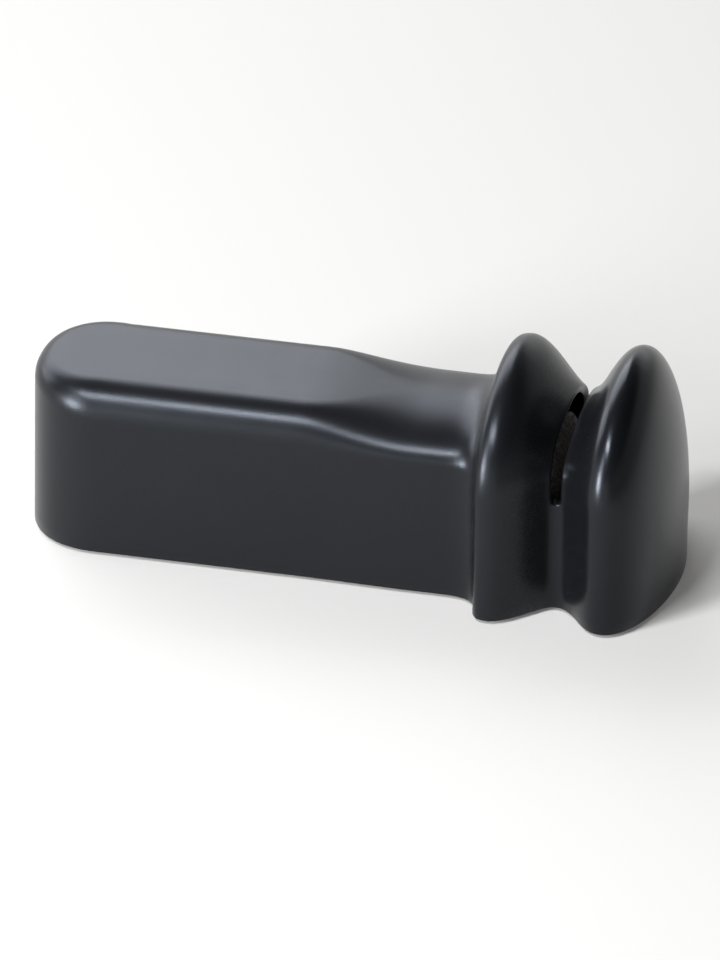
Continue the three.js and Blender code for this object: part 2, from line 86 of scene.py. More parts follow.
class SharpenerHousingSizes(bpy.types.PropertyGroup):
    """Outer form and walls of the moulded housing."""

    handle_width: length("Handle width", 40, "Width of the straight handle at its foot")
    handle_height: length("Handle height", 41.1, "Height of the flat top above the rim")
    handle_edge: length("Handle edge", 8, "Rounding of the long top edges")
    tail_depth: length("Tail depth", 18.5, "Length of the rounded rear end")
    tail_power: ratio("Tail power", 2.2, "2 is an ellipse in plan, more is squarer")
    tail_edge: length("Tail edge", 4.6, "Rounding of the rear top edge")
    side_draft: slant("Side draft", 0.7, "Lean of the long sides")
    tail_draft: slant("Tail draft", 1.3, "Lean of the rear end")
    neck_turn: length("Neck turn", 27, "Length over which the flat top turns into a low arch")
    neck_run: length("Neck run", 7.6, "Steady arch up to the flare of the head")
    neck_width: length("Neck width", 41, "Width of the neck at its foot")
    neck_height: length("Neck height", 40.4, "Height of the neck's crown above the rim")
    arch_rise: length("Arch rise", 8, "Height of the arch above the upright sides")
    arch_power: ratio("Arch power", 2.0, "2 is an ellipse, more is squarer")
    crown_flat: length("Crown flat", 0.5, "Half width of the level strip along the crown")
    flare_run: length("Flare run", 11.9, "Start of the flare to the crest of the rear hump")
    groove_run_rear: length("Rear groove run", 13.5, "Crest of the rear hump to the groove")
    groove_run_front: length("Front groove run", 12.5, "Groove to the crest of the front hump")
    nose_depth: length("Nose depth", 12.5, "Crest of the front hump to the front end")
    rear_hump: length("Rear hump", 9.3, "Stand-out of the rear hump from the neck")
    groove: length("Groove", -0.2, "Stand-out of the groove from the neck")
    front_hump: length("Front hump", 9.5, "Stand-out of the front hump from the neck")
    crown_gain: ratio("Crown gain", 1.35, "Rise at the crown for each millimetre at the sides")
    arch_gain: ratio("Arch gain", 1.7, "Growth of the arch for each millimetre at the sides")
    flare_pull: ratio("Flare pull", 1.04, "Fullness of the curve where the flare starts")
    rear_hump_pull_back: ratio("Rear hump pull, back", 0.64, "Fullness behind the crest")
    rear_hump_pull_front: ratio("Rear hump pull, front", 0.37, "Fullness ahead of the crest")
    groove_pull_back: ratio("Groove pull, back", 0.22, "Fullness behind the groove")
    groove_pull_front: ratio("Groove pull, front", 0.43, "Fullness ahead of the groove")
    front_hump_pull: ratio("Front hump pull", 0.46, "Fullness behind the front crest")
    nose_side_power: ratio("Nose side power", 1.8, "Fullness of the front face low down")
    nose_crown_power: ratio("Nose crown power", 2.32, "Fullness of the front face at the crown")
    nose_round: ratio("Nose round", 0.525, "Below 1 rounds the edge of the front face")
    nose_foot: length("Nose foot", 4, "Upright band along the front face's lower edge")
    wall: length("Wall", 2.2, "Thickness of the moulding")
    rim_wall: length("Rim wall", 1.5, "Thinner wall round the cover")
    rim_tall: length("Rim height", 2.9, "Height of the thinner wall")
    rim_round: length("Rim rounding", 0.4, "Rounding of the outer lower edge")
    inner_edge: length("Inner edge", 1, "Least rounding inside the shell")
    slit_end_width: length("Slit end width", 1.7, "Width of the knife slit at its round ends")
    slit_crown_width: length("Slit crown width", 2.5, "Width of the knife slit at the crown")
    slit_depth: length("Slit depth", 13.8, "Crown of the groove down to the slit's ends")
    slit_lip: length("Slit lip", 0.5, "Rounding of the slit's edge")


class SharpenerBaseSizes(bpy.types.PropertyGroup):
    """Cover, screws and feet."""

    cover_inset: length("Cover inset", 1.8, "Housing's outside to the edge of the cover")
    cover_thick: length("Cover thickness", 2.4, "Thickness of the plate")
    cover_edge: length("Cover edge", 0.3, "Rounding of the plate's lower edge")
    line_inset: length("Line inset", 1.0, "Plate's edge to the fine line round the underside")
    line_width: length("Line width", 0.4, "Width of the fine line")
    line_depth: length("Line depth", 0.22, "Depth of the fine line")
    hole_chamfer: length("Hole chamfer", 0.3, "Chamfer of the holes in the underside")
    hole_gap: length("Hole gap", 0.2, "Round pieces to their plain holes")
    seat_gap: length("Seat gap", 0.1, "Between faces that rest on each other")
    split_gap: length("Split gap", 0.3, "Upper to lower half of a bearing block")
    bearing_width: length("Bearing width", 18, "Width of the bearing blocks")
    boss_radius: length("Boss radius", 3.55, "Posts that take the screws")
    screw_radius: length("Screw radius", 1.3, "Outside of the thread")
    screw_core: length("Screw core", 0.95, "Core of the thread")
    screw_pitch: length("Screw pitch", 1.1, "Pitch of the thread")
    screw_head_tall: length("Screw head height", 1.4, "Height of the domed head")
    cross_arm: length("Cross arm", 1.6, "Half length of the cross recess")
    cross_half: length("Cross half width", 0.35, "Half width of the cross recess")
    cross_depth: length("Cross depth", 0.85, "Depth of the cross recess")
    foot_round: length("Foot rounding", 0.45, "Rounding of the foot's edge")
    foot_dish: length("Foot dish", 0.25, "Depth of the dish under each foot")


class SharpenerWheelSizes(bpy.types.PropertyGroup):
    """Rings, hubs, axle and bearings, as distances from the axle and from the groove's middle plane."""

    ring_inner: length("Ring bore", 8.9, "Radius of the ring's bore")
    ring_bevel: slant("Ring bevel", 14, "Slope of the grinding face")
    ring_chamfer: length("Ring chamfer", 0.5, "Chamfer at the outer edge of the grinding face")
    hub_radius: length("Hub radius", 8.7, "Seat of the ring")
    hub_flange: length("Hub flange", 1.4, "Thickness of the flange behind the ring")
    hub_hollow: length("Hub hollow", 0.7, "Depth of the hollow in the hub's back")
    press_gap: length("Press gap", 0.05, "Hubs and spacer on the axle")
    run_gap: length("Running gap", 0.08, "Axle in its bushes")
    bush_radius: length("Bush radius", 4.4, "Outside of the bush")
    bush_flange: length("Bush flange", 1.0, "Thickness of the bush's flange")
    clip_depth: length("Clip depth", 0.5, "Depth of the clip's groove in the axle")
    clip_mouth: slant("Clip mouth", 50, "Opening of the clip")


class SharpenerFinishes(bpy.types.PropertyGroup):
    """Colours and surface of the materials."""

    # The head's colour is set darker than the handle's partly for its polished finish and partly as painted
    # shade, where the head looks darker under the lamps.
    handle: tint("Handle", (0.0058, 0.0061, 0.0068), "Black satin plastic of the grained handle")
    head: tint("Head", (0.0030, 0.0033, 0.0040), "The same plastic where it is polished")
    grain: length("Grain", 0.28, "Size of the moulded grain on the handle")
    handle_rough: ratio("Handle roughness", 0.30, "Roughness of the grained handle")
    head_rough: ratio("Head roughness", 0.25, "Roughness of the polished head")
    cover: tint("Cover", (0.014, 0.0145, 0.0155), "Matt plastic of the cover")
    grit: tint("Grit", (0.092, 0.084, 0.073), "Bond of the grinding rings")
    grit_spark: tint("Grit, bright", (0.30, 0.28, 0.245), "Bare grains of the grinding rings")
    hub: tint("Hub", (0.045, 0.046, 0.05), "Grey plastic of the wheel hubs")
    steel: tint("Steel", (0.52, 0.53, 0.54), "Bright steel")
    bearing: tint("Bearing", (0.62, 0.60, 0.54), "Off-white bearing plastic")
    rubber: tint("Rubber", (0.016, 0.016, 0.0165), "Black rubber of the feet")


class SharpenerStageSizes(bpy.types.PropertyGroup):
    """Camera, floor and studio sweep."""

    azimuth: slant("Azimuth", 13.454, "Camera's turn round the object")
    elevation: slant("Elevation", 29.331, "Camera's height above the horizon")
    distance: length("Distance", 1931.6, "Camera to the aim point")
    focal: ratio("Focal length", 321.1, "Lens in millimetres on a 36 mm sensor")
    aim_height: length("Aim height", 22.8, "Height of the aim point before it is shifted")
    aim_right: length("Aim right", 0.424, "Shift of the aim point to the right in the picture")
    aim_up: length("Aim up", -5.9, "Shift of the aim point upward in the picture")
    floor: tint("Floor", (0.60, 0.582, 0.536), "Pale floor")
    sweep: ratio("Sweep", 1.1, "Brightness of the studio sweep behind the floor")
    ceiling: ratio("Ceiling", 0.06, "Brightness of the dim ceiling")


class SharpenerSettings(bpy.types.PropertyGroup):
    """All settings of the sharpener."""

    housing: PointerProperty(type=SharpenerHousingSizes)
    base: PointerProperty(type=SharpenerBaseSizes)
    wheels: PointerProperty(type=SharpenerWheelSizes)
    finishes: PointerProperty(type=SharpenerFinishes)
    stage: PointerProperty(type=SharpenerStageSizes)


def settings():
    return bpy.context.scene.sharpener


# Shader sockets in Python arithmetic

class Signal:
    """A shader output that takes part in sums, with numbers or other signals."""

    def __init__(self, finish, socket):
        self.finish = finish
        self.socket = socket

    def math(self, operation, first, second):
        return self.finish.node("ShaderNodeMath", {"operation": operation}, {0: first, 1: second})

    def __add__(self, other):
        return self.math("ADD", self, other)

    def __sub__(self, other):
        return self.math("SUBTRACT", self, other)

    def __mul__(self, other):
        return self.math("MULTIPLY", self, other)

    def __radd__(self, other):
        return self.math("ADD", other, self)

    def __rsub__(self, other):
        return self.math("SUBTRACT", other, self)

    def __rmul__(self, other):
        return self.math("MULTIPLY", other, self)


class Finish:
    """A material or world whose node tree is filled step by step."""

    def __init__(self, owner):
        self.owner = owner
        owner.use_nodes = True
        self.tree = owner.node_tree
        self.tree.nodes.clear()

    def node(self, kind, choices=None, values=None, output=0):
        """Adds a node, sets its choices, then its sockets, and returns one of its outputs."""
        node = self.tree.nodes.new(kind)
        for key, choice in (choices or {}).items():
            if key == "stops":
                ramp = node.color_ramp.elements
                while len(ramp) < len(choice):
                    ramp.new(0.5)
                for element, (place, shade) in zip(ramp, choice):
                    element.position = place
                    element.color = (*shade, 1)
            else:
                setattr(node, key, choice)
        for key, value in (values or {}).items():
            socket = node.inputs[key]
            if isinstance(value, Signal):
                self.tree.links.new(value.socket, socket)
            elif socket.type == "RGBA" and len(value) == 3:
                socket.default_value = (*value, 1)
            else:
                socket.default_value = value
        return Signal(self, node.outputs[output])

    def place(self):
        return self.node("ShaderNodeTexCoord", output="Object")

    def noise(self, size, detail=2.0, roughness=0.5, where=None):
        """Cloudy noise from 0 to 1 with features of that size in metres."""
        where = where or self.place()
        values = {"Vector": where, "Scale": 1 / size, "Detail": detail, "Roughness": roughness}
        return self.node("ShaderNodeTexNoise", {}, values, "Fac")

    def cells(self, size, output="Distance"):
        """Cell pattern with cells of that size in metres."""
        values = {"Vector": self.place(), "Scale": 1 / size}
        return self.node("ShaderNodeTexVoronoi", {}, values, output)

    def fade(self, value, start, end, low=0.0, high=1.0):
        """Smooth change from low to high while value goes from start to end."""
        values = {"Value": value, "From Min": start, "From Max": end, "To Min": low, "To Max": high}
        return self.node("ShaderNodeMapRange", {"interpolation_type": "SMOOTHSTEP"}, values)

    def blend(self, share, first, second):
        """Colour between two colours."""
        values = {"Factor": share, 6: first, 7: second}
        return self.node("ShaderNodeMix", {"data_type": "RGBA"}, values, 2)

    def bump(self, height, depth, strength=1.0):
        values = {"Height": height, "Distance": depth, "Strength": strength}
        return self.node("ShaderNodeBump", {}, values)

    def surface(self, values):
        """Ends the tree in a Principled surface."""
        shader = self.node("ShaderNodeBsdfPrincipled", {}, values)
        self.node_output("ShaderNodeOutputMaterial", shader)
        return self.owner

    def node_output(self, kind, shader):
        output = self.tree.nodes.new(kind)
        self.tree.links.new(shader.socket, output.inputs["Surface"])


def new_finish(name):
    return Finish(bpy.data.materials.new(name))


def moulded_plastic():
    """Black satin plastic: fine grain on the handle, smoother on the head."""
    look = settings().finishes
    form = HousingForm()
    finish = new_finish("moulded_plastic")
    place = finish.place()
    along = finish.node("ShaderNodeSeparateXYZ", {}, {0: place}, "X")
    polish = finish.fade(along, form.x(form.rear_hump_at), form.x(form.groove_at))
    grain = finish.noise(look.grain, 2.0, 0.6)
    flow = finish.noise(9 * MM, 3.0)
    speck = finish.cells(1.7 * MM)
    dust = finish.fade(speck, 0.09, 0.03)
    rough = look.handle_rough + (look.head_rough - look.handle_rough) * polish
    rough = rough + (grain - 0.5) * 0.10 + (flow - 0.5) * 0.05 + dust * 0.06
    # Colour fades from the handle's to the head's along the length: the darker head is partly the polished
    # finish and partly painted shade.
    shade = finish.blend(polish, look.handle, look.head)
    shade = finish.blend(flow * 0.5 + grain * 0.3, shade, tuple(1.3 * c for c in look.handle))
    height = grain * (1 - polish * 0.7)
    return finish.surface({
        "Base Color": shade,
        "Roughness": rough,
        "IOR": 1.35,
        "Specular Tint": (0.86, 0.93, 1.0),
        "Normal": finish.bump(height, 0.05 * MM, 0.5),
    })


def matt_plastic(name, shade, roughness):
    """Plain moulded plastic with a soft spark-eroded texture."""
    finish = new_finish(name)
    grain = finish.noise(0.5 * MM, 3.0, 0.6)
    flow = finish.noise(12 * MM, 3.0)
    light = tuple(1.35 * c for c in shade)
    return finish.surface({
        "Base Color": finish.blend(flow, shade, light),
        "Roughness": roughness + (grain - 0.5) * 0.12,
        "Normal": finish.bump(grain, 0.06 * MM, 0.5),
    })


def abrasive_grit():
    """Sintered grit: bright angular grains in a warm grey bond."""
    look = settings().finishes
    finish = new_finish("abrasive_grit")
    grain = finish.cells(0.32 * MM, "Color")
    edge = finish.cells(0.32 * MM)
    dark = finish.noise(1.4 * MM, 3.0)
    chance = finish.node("ShaderNodeSeparateColor", {}, {0: grain}, 0)
    share = finish.fade(chance, 0.45, 0.95) * (0.55 + dark * 0.6)
    return finish.surface({
        "Base Color": finish.blend(share, look.grit, look.grit_spark),
        "Roughness": 0.72 - share * 0.3,
        "Metallic": share * 0.25,
        "Normal": finish.bump(edge + chance * 0.6, 0.09 * MM, 0.8),
    })


def bright_steel():
    """Turned steel with fine tool lines."""
    look = settings().finishes
    finish = new_finish("bright_steel")
    stretched = finish.node("ShaderNodeMapping", {}, {"Vector": finish.place(), "Scale": (1, 0.05, 0.05)})
    lines = finish.noise(0.18 * MM, 2.0, 0.5, stretched)
    stain = finish.noise(3 * MM, 3.0)
    dull = tuple(0.8 * c for c in look.steel)
    return finish.surface({
        "Base Color": finish.blend(stain, look.steel, dull),
        "Metallic": 1.0,
        "Roughness": 0.24 + (lines - 0.5) * 0.18 + stain * 0.06,
        "Normal": finish.bump(lines, 0.02 * MM, 0.4),
    })


def foot_rubber():
    """Soft black rubber with a dusty bloom."""
    look = settings().finishes
    finish = new_finish("foot_rubber")
    bloom = finish.noise(2.5 * MM, 4.0, 0.6)
    pores = finish.noise(0.35 * MM, 2.0)
    light = tuple(1.8 * c for c in look.rubber)
    return finish.surface({
        "Base Color": finish.blend(bloom, look.rubber, light),
        "Roughness": 0.78 + (bloom - 0.5) * 0.2,
        "Normal": finish.bump(pores, 0.08 * MM, 0.5),
    })


# Mesh steps shared by the pieces

def deselect():
    bpy.ops.object.select_all(action="DESELECT")


def started(name):
    """Names the primitive that was just added."""
    piece = bpy.context.object
    piece.name = name
    piece.data.name = name
    return piece


def pick(piece):
    """Makes a piece the only selected one, and the active one."""
    deselect()
    piece.select_set(True)
    bpy.context.view_layer.objects.active = piece


def edit(piece):
    pick(piece)
    bpy.ops.object.mode_set(mode="EDIT")


def edit_all(piece):
    """Edit mode with everything selected."""
    edit(piece)
    bpy.ops.mesh.select_all(action="SELECT")


def leave():
    bpy.ops.object.mode_set(mode="OBJECT")


def place_points(piece, points):
    piece.data.vertices.foreach_set("co", np.ascontiguousarray(points, np.float32).ravel())
    piece.data.update()


def points_of(piece):
    flat = np.zeros(3 * len(piece.data.vertices), np.float32)
    piece.data.vertices.foreach_get("co", flat)
    return flat.reshape(-1, 3)


def clear_selection(piece):
    for part in (piece.data.vertices, piece.data.edges, piece.data.polygons):
        part.foreach_set("select", np.zeros(len(part), bool))


def select_edges(piece, chosen):
    """Selects edges by a mask, for the next operator in edit mode."""
    clear_selection(piece)
    ends = np.zeros(2 * len(piece.data.edges), np.int32)
    piece.data.edges.foreach_get("vertices", ends)
    corners = np.zeros(len(piece.data.vertices), bool)
    corners[ends.reshape(-1, 2)[chosen].ravel()] = True
    piece.data.vertices.foreach_set("select", corners)
    piece.data.edges.foreach_set("select", chosen)
    bpy.context.tool_settings.mesh_select_mode = (False, True, False)


def select_faces(piece, chosen):
    clear_selection(piece)
    piece.data.polygons.foreach_set("select", chosen)
    bpy.context.tool_settings.mesh_select_mode = (False, False, True)


def open_edges(piece):
    """Mask of the edges that only one face uses, and the middle of every edge."""
    mesh = piece.data
    used = np.zeros(len(mesh.loops), np.int32)
    mesh.loops.foreach_get("edge_index", used)
    ends = np.zeros(2 * len(mesh.edges), np.int32)
    mesh.edges.foreach_get("vertices", ends)
    middles = points_of(piece)[ends.reshape(-1, 2)].mean(axis=1)
    return np.bincount(used, minlength=len(mesh.edges)) == 1, middles


def merge(piece):
    edit_all(piece)
    bpy.ops.mesh.remove_doubles(threshold=MERGE_GAP)
    leave()


def face_outward(piece):
    edit_all(piece)
    bpy.ops.mesh.normals_make_consistent(inside=False)
    leave()


def smooth(piece, angle=35):
    pick(piece)
    bpy.ops.object.shade_smooth_by_angle(angle=math.radians(angle))


def spun(name, outline, centre, axis="X", bevel=0.0, steps=96, start=0.0, turn=2 * math.pi):
    """Turned piece: a closed outline of (radius, along) corners, rounded and spun about an axis."""
    upright = axis == "Z"
    along = Vector((0, 0, 1)) if upright else Vector((1, 0, 0))
    out = Vector((1, 0, 0)) if upright else Vector((0, -math.sin(start), math.cos(start)))
    deselect()
    bpy.ops.mesh.primitive_circle_add(vertices=len(outline), fill_type="NOTHING")
    piece = started(name)
    place_points(piece, [centre + along * z + out * r for r, z in outline])
    clear_selection(piece)
    piece.data.vertices.foreach_set("select", [r > bevel for r, _ in outline])
    bpy.context.tool_settings.mesh_select_mode = (True, False, False)
    edit(piece)
    if bevel:
        bpy.ops.mesh.bevel(offset=bevel, segments=3, affect="VERTICES")
    bpy.ops.mesh.select_all(action="SELECT")
    bpy.ops.mesh.spin(steps=steps, angle=turn, center=centre, axis=along)
    bpy.ops.mesh.select_all(action="SELECT")
    bpy.ops.mesh.remove_doubles(threshold=MERGE_GAP)
    bpy.ops.mesh.delete_loose()
    bpy.ops.mesh.select_all(action="SELECT")
    bpy.ops.mesh.fill_holes(sides=0)
    leave()
    face_outward(piece)
    smooth(piece)
    return piece


def cuboid(name, low, high):
    deselect()
    bpy.ops.mesh.primitive_cube_add(size=1)
    piece = started(name)
    middle, extent = (Vector(low) + Vector(high)) / 2, Vector(high) - Vector(low)
    place_points(piece, points_of(piece) * np.array(extent) + np.array(middle))
    return piece


def post(name, radius, low, high, x, y, steps=48):
    """Upright round bar."""
    outline = [(0, low), (radius, low), (radius, high), (0, high)]
    return spun(name, outline, Vector((x, y, 0)), "Z", 0, steps)


def joined(pieces):
    deselect()
    for piece in pieces:
        piece.select_set(True)
    bpy.context.view_layer.objects.active = pieces[0]
    bpy.ops.object.join()
    return pieces[0]


def carve(piece, tool, operation="DIFFERENCE", solver="EXACT"):
    """Cuts a tool out of a piece, or adds it."""
    pick(piece)
    bpy.ops.object.modifier_add(type="BOOLEAN")
    step = piece.modifiers[-1]
    step.operation = operation
    step.solver = solver
    step.object = tool
    bpy.ops.object.modifier_apply(modifier=step.name)
    bpy.data.objects.remove(tool)


def span(node):
    """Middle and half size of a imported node's box."""
    low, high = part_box(node)
    return (low + high) / 2, (high - low) / 2


def wheel_span(node):
    """Nearest and farthest point of a node from the groove's middle plane, and its radius."""
    middle, half = span(node)
    away = abs(middle.x - WHEEL_CENTRE.x)
    return away - half.x, away + half.x, half.z


def mirrored(outline, side):
    """Outline of a turned piece on one side of the groove's middle plane."""
    return [(radius, side * along) for radius, along in outline]


def finish_piece(piece, material, body, slot, *nodes):
    """Gives a finished piece its material and body, and hides the nodes that it stands for; slot is not used.
    """
    piece.data.materials.clear()
    piece.data.materials.append(material)
    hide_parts(*nodes)
    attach(piece, body)


# Form of the housing

def mix(first, second, share):
    return first + (second - first) * share


def ease(share):
    share = np.clip(share, 0, 1)
    return share * share * (3 - 2 * share)


class HousingForm:
    """Surface of the housing as a grid: rows from the rear end to the front face, columns over the crown."""

    TAIL_ROWS = 24
    STRAIGHT_ROWS = 10
    NECK_ROWS = 30
    RUN_ROWS = 4
    HUMP_ROWS = 26
    NOSE_ROWS = 28
    SHOULDER_COLUMNS = 22
    LEG_LEVELS = (0.4, 3, 6, 10, 14, 18, 21, 23, 24.4)
    LIP_STEPS = (0, 0.08, 0.22, 0.45, 0.75, 1.1, 1.6, 2.3)
    SLIT_REACH = 4.4
    SLIT_LEVELS = (0.06, 0.3, 0.65, 1.1, 2.1)
    TIP_HALF = 0.35
    CROWN_SHARES = (0.35, 0.7)
    OUTLINE_STEP = 0.8
    CURVE_SAMPLES = 400
    RIM_SHARE = 0.3

    def __init__(self):
        size = settings().housing
        self.size = size
        self.length = SHELL_HIGH.x - SHELL_LOW.x
        self.rim = SHELL_LOW.z
        self.front_hump_at = self.length - size.nose_depth
        self.groove_at = self.front_hump_at - size.groove_run_front
        self.rear_hump_at = self.groove_at - size.groove_run_rear
        self.flare_at = self.rear_hump_at - size.flare_run
        self.neck_end = self.flare_at - size.neck_run
        self.neck_start = self.neck_end - size.neck_turn
        self.profile = self.head_profile()
        self.slit_round = size.slit_end_width / 2
        crown = size.neck_height + size.crown_gain * size.groove
        self.slit_end = crown - size.slit_depth
        self.slit_centre = self.slit_end + self.slit_round
        tip = [self.slit_end - d * MM for d in reversed(self.LIP_STEPS[1:5])]
        slit = [self.slit_end + d * MM for d in self.SLIT_LEVELS]
        levels = [d * MM for d in self.LEG_LEVELS]
        self.levels = np.array([0, self.RIM_SHARE * size.rim_round, *levels, *tip, *slit])
        self.tip_column = 2 + len(levels) + len(tip)
        turns = np.linspace(0, 1, self.SHOULDER_COLUMNS + 1)
        self.turns = turns * math.pi / 2
        self.half_columns = len(self.levels) + len(turns) + len(self.CROWN_SHARES)
        self.columns = 2 * self.half_columns + 1
        self.stations, self.slit_row = self.station_grid()

    def x(self, station):
        return SHELL_LOW.x + station

    def head_profile(self):
        """Fine samples of station, outset and slope along the humps and the groove."""
        size = self.size
        corners = [
            (self.flare_at, 0, size.flare_pull, size.flare_pull),
            (self.rear_hump_at, size.rear_hump, size.rear_hump_pull_back, size.rear_hump_pull_front),
            (self.groove_at, size.groove, size.groove_pull_back, size.groove_pull_front),
            (self.front_hump_at, size.front_hump, size.front_hump_pull, size.front_hump_pull),
        ]
        self.stretches = []
        for (x0, o0, _, pull0), (x1, o1, pull1, _) in zip(corners, corners[1:]):
            t = np.linspace(0, 1, self.CURVE_SAMPLES)
            run = x1 - x0
            weights = ((1 - t) ** 3, 3 * t * (1 - t) ** 2, 3 * t * t * (1 - t), t ** 3)
            station = sum(w * p for w, p in zip(weights, (x0, x0 + pull0 * run, x1 - pull1 * run, x1)))
            outset = sum(w * p for w, p in zip(weights, (o0, o0, o1, o1)))
            self.stretches.append((station, outset))
        station = np.concatenate([s for s, _ in self.stretches])
        outset = np.concatenate([o for _, o in self.stretches])
        slope = np.gradient(outset, station + np.arange(len(station)) * 1e-9)
        return station, outset, slope

    def bezier_rows(self, index, rows):
        station, _ = self.stretches[index]
        return np.interp(np.linspace(0, 1, rows + 1), np.linspace(0, 1, len(station)), station)

    def slit_half(self, level):
        """Half width of the slit at a height above the rim."""
        size = self.size
        flare = (size.slit_crown_width - size.slit_end_width) / (2 * size.slit_depth)
        below = np.clip(self.slit_centre - level, 0, self.slit_round)
        round_end = np.sqrt(self.slit_round ** 2 - below ** 2)
        straight = self.slit_round + flare * (level - self.slit_centre)
        half = np.where(level < self.slit_centre, round_end, straight)
        return np.where(level < self.slit_end, self.TIP_HALF * MM, half)

    def station_grid(self):
        """Station of every grid point: rows are square to the length, but hug the slit beside it."""
        size = self.size
        plain = [np.linspace(size.tail_depth, self.neck_start, self.STRAIGHT_ROWS + 1)]
        plain.append(np.linspace(self.neck_start, self.neck_end, self.NECK_ROWS + 1)[1:])
        plain.append(np.linspace(self.neck_end, self.flare_at, self.RUN_ROWS + 1)[1:])
        plain.append(self.bezier_rows(0, self.HUMP_ROWS)[1:])
        into = self.bezier_rows(1, self.HUMP_ROWS)[1:]
        plain.append(into[into < self.groove_at - self.SLIT_REACH * MM])
        out = self.bezier_rows(2, self.HUMP_ROWS)
        out = out[out > self.groove_at + self.SLIT_REACH * MM]
        _, heights = self.section(np.full(self.columns, self.groove_at), 0)
        half = self.slit_half(heights)
        steps = np.array(self.LIP_STEPS) * MM
        rear = [self.groove_at - half - d for d in steps[::-1]]
        front = [self.groove_at + half + d for d in steps]
        before = [np.full(self.columns, s) for s in np.concatenate(plain)]
        after = [np.full(self.columns, s) for s in out]
        grid = np.array([*before, *rear, *front, *after])
        return grid, self.TAIL_ROWS + len(before) + len(rear) - 1

    def half_shape(self, width, height, edge_wide, edge_tall, power, draft):
        """Distance in from the side and height above the rim, for the columns of one side."""
        slope = np.tan(draft)
        leg_top = height - edge_tall
        lean = leg_top * slope
        reach = np.minimum(edge_wide, width - lean)
        inward = [level * slope + 0 * width for level in self.levels]
        rise = [level + 0 * width for level in self.levels]
        for turn in self.turns:
            inward.append(lean + reach * (1 - max(math.cos(turn), 0) ** (2 / power)))
            rise.append(leg_top + edge_tall * math.sin(turn) ** (2 / power))
        for share in self.CROWN_SHARES:
            inward.append(mix(lean + reach, width, share))
            rise.append(height + 0 * width)
        inward.append(width + 0 * lean)
        rise.append(height + 0 * width)
        return inward, rise

    def both_sides(self, inward, rise, pick):
        """Spreads per-column lists over the whole row, from the near foot to the far foot."""
        order = [*range(self.half_columns + 1), *reversed(range(self.half_columns))]
        column = range(self.columns)
        return (np.stack([pick(inward[k], j) for k, j in zip(order, column)], axis=-1),
                np.stack([pick(rise[k], j) for k, j in zip(order, column)], axis=-1))

    def section(self, station, inset):
        """Half width and height above the rim at a station for every column, moved in by inset."""
        width, *rest = self.measures(station, inset)
        inward, rise = self.half_shape(width, *rest, self.size.side_draft)
        inward, rise = self.both_sides(inward, rise, lambda values, j: values[..., j])
        return width - inward, rise

    def measures(self, station, inset):
        """Half width, height, width and height of the shoulder, and its power, at a station."""
        size = self.size
        profile_station, profile_outset, profile_slope = self.profile
        outset = np.interp(station, profile_station, profile_outset, left=0)
        slope = np.interp(station, profile_station, profile_slope, left=0)
        shrink = inset / np.sqrt(1 + slope ** 2)
        self.shift = inset * slope / np.sqrt(1 + slope ** 2)
        turn = ease((station - self.neck_start) / (self.neck_end - self.neck_start))
        width = mix(size.handle_width, size.neck_width, turn) / 2 + outset - shrink
        height = mix(size.handle_height, size.neck_height, turn) + size.crown_gain * outset - shrink
        edge = np.maximum(size.handle_edge - shrink, size.inner_edge)
        edge_wide = mix(edge, width - size.crown_flat, turn)
        edge_tall = mix(edge, size.arch_rise + size.arch_gain * outset - shrink, turn)
        return width, height, edge_wide, edge_tall, mix(2, size.arch_power, turn)

    def ceiling(self, x, y):
        """Height of the middle of the wall above points in plan."""
        station = x - SHELL_LOW.x
        width, height, edge_wide, edge_tall, power = self.measures(station, self.size.wall / 2)
        leg_top = height - edge_tall
        lean = leg_top * math.tan(self.size.side_draft)
        share = np.clip((width - np.abs(y) - lean) / np.minimum(edge_wide, width - lean), 0, 1)
        return self.rim + leg_top + edge_tall * (1 - (1 - share) ** power) ** (1 / power)

    def outline(self, inset):
        """Plan of the foot moved in by inset, as evenly spaced points of a closed run."""
        rows = self.skin(inset)
        run = np.concatenate([rows[:, 0, :2], rows[-2::-1, -1, :2]])
        steps = np.hypot(*np.diff(run, axis=0).T)
        far = np.concatenate([[0], np.cumsum(steps)])
        even = np.arange(0, far[-1], self.OUTLINE_STEP * MM)[:-1]
        return np.column_stack([np.interp(even, far, run[:, k]) for k in (0, 1)])

    def side_sign(self):
        return np.sign(np.arange(self.columns) - self.half_columns)

    def tail(self, inset):
        """Fan of rows round the rear end."""
        size = self.size
        inset = np.broadcast_to(inset, (self.columns,))
        rows = []
        for i in range(self.TAIL_ROWS):
            turn = math.pi / 2 * (1 - i / self.TAIL_ROWS)
            back = math.sin(turn)
            side = abs(math.cos(turn)) ** (2 / size.tail_power) if i else 0
            width = size.handle_width / 2 - inset
            edge = np.maximum(mix(size.handle_edge, size.tail_edge, back) - inset, size.inner_edge)
            draft = mix(size.side_draft, size.tail_draft, back)
            shape = self.half_shape(width, size.handle_height - inset, edge, edge, 2, draft)
            inward, rise = self.both_sides(*shape, lambda values, j: values[j])
            share = 1 - inward / width
            reach = (size.tail_depth - inset) * back ** (2 / size.tail_power)
            x = self.x(size.tail_depth - reach * share)
            rows.append(np.stack([x, self.side_sign() * width * side * share, rise + self.rim], axis=-1))
        return np.array(rows)

    def nose(self, edge, inset):
        """Rows over the front face, drawn together from the crest of the front hump."""
        size = self.size
        inset = np.broadcast_to(inset, (self.columns,))
        level = edge[:, 2] - self.rim
        crown = level.max()
        power = mix(size.nose_side_power, size.nose_crown_power, (np.maximum(level, 0) / crown) ** 2)
        rows = []
        for i in range(1, self.NOSE_ROWS + 1):
            share = math.cos(math.pi / 2 * i / self.NOSE_ROWS) if i < self.NOSE_ROWS else 0
            bulge = (size.nose_depth - inset) * (1 - share ** power) ** size.nose_round
            z = np.where(level < size.nose_foot, level, mix(size.nose_foot, level, share))
            x = self.x(self.front_hump_at + bulge)
            rows.append(np.stack([x, edge[:, 1] * share, z + self.rim], axis=-1))
        return np.array(rows)

